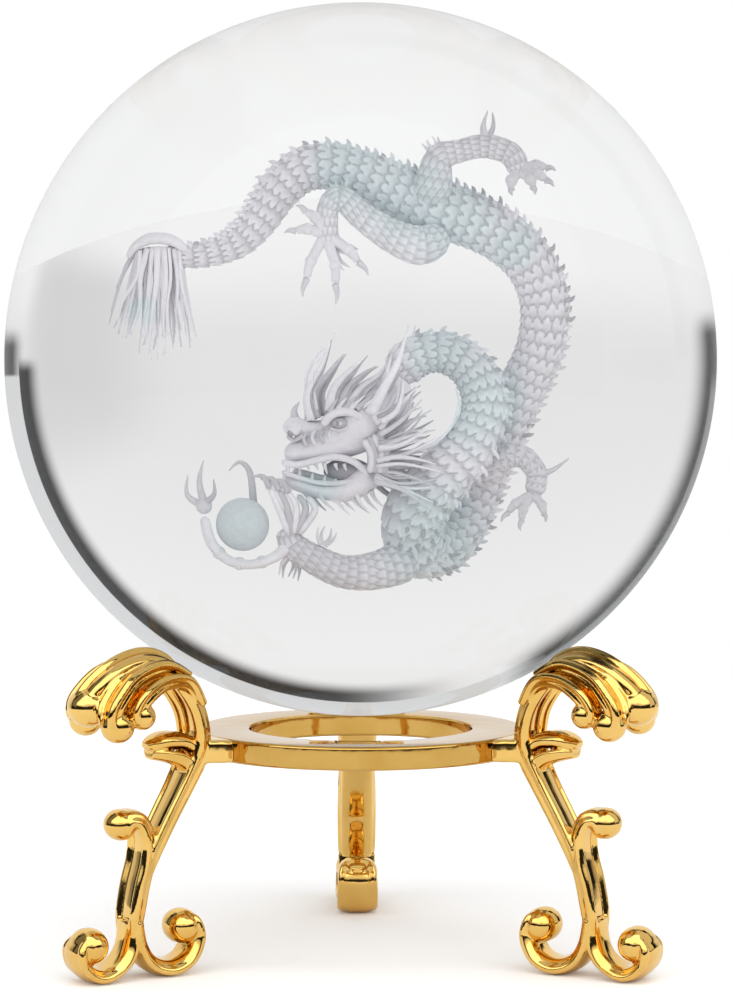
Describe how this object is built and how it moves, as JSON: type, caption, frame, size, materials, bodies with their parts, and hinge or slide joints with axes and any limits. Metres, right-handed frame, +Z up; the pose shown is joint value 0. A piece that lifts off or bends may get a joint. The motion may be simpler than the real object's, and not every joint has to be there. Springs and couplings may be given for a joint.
{
  "type": "crystal ball",
  "caption": "Clear glass sphere with a laser-engraved dragon inside, resting on a gold stand with a flat ring and scroll legs.",
  "frame": {"origin": "on the floor, under the centre of the ball", "axes": "+Z up, -Y towards the viewer, with the single rear leg at +Y"},
  "size_m": [0.08, 0.08, 0.1072],
  "materials": {
    "clear_glass": "polished clear optical glass",
    "gold_plating": "mirror-polished gold plating on a zinc casting",
    "pin_steel": "plain ground steel"
  },
  "bodies": {
    "stand": {"support_ring": "gold_plating", "front_left_leg": "gold_plating", "front_right_leg": "gold_plating", "rear_leg": "gold_plating", "front_left_leg_pin": "pin_steel", "front_right_leg_pin": "pin_steel", "rear_leg_pin": "pin_steel"},
    "ball": {"crystal_ball": "clear_glass"}
  },
  "joints": [
    {"name": "ball_lift", "type": "slide", "parent": "stand", "child": "ball", "axis": [0, 0, 1], "range_m": [0, 0.06]}
  ]
}
